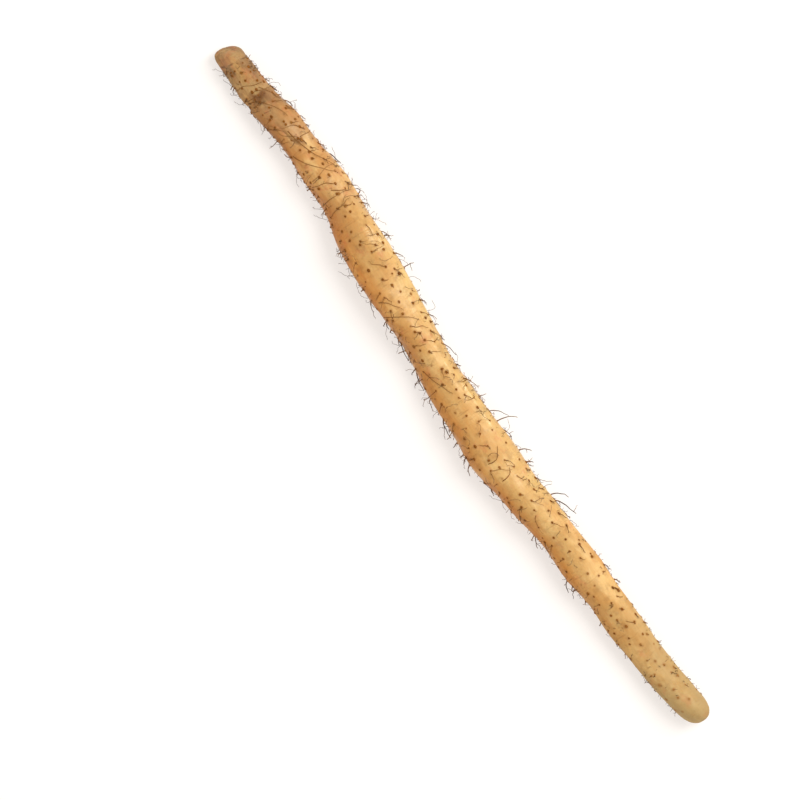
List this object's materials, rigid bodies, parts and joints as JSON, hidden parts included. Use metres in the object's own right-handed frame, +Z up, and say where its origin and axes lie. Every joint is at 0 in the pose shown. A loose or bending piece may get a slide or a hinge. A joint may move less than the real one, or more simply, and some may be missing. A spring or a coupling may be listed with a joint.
{
  "type": "chinese yam",
  "caption": "Long slender yam tuber laid down, with a blunt crown, a rounded growing tip, corky warts and thin wiry rootlets all over.",
  "frame": {"origin": "middle of the footprint, on the surface that the tuber lies on", "axes": "+Z up, +X along the tuber from the crown to the growing tip, +Y to the side"},
  "size_m": [0.5636, 0.0533, 0.0327],
  "materials": {
    "skin": "matt",
    "rootlet": "matt"
  },
  "bodies": {
    "root": {"yam": "skin"}
  },
  "joints": []
}
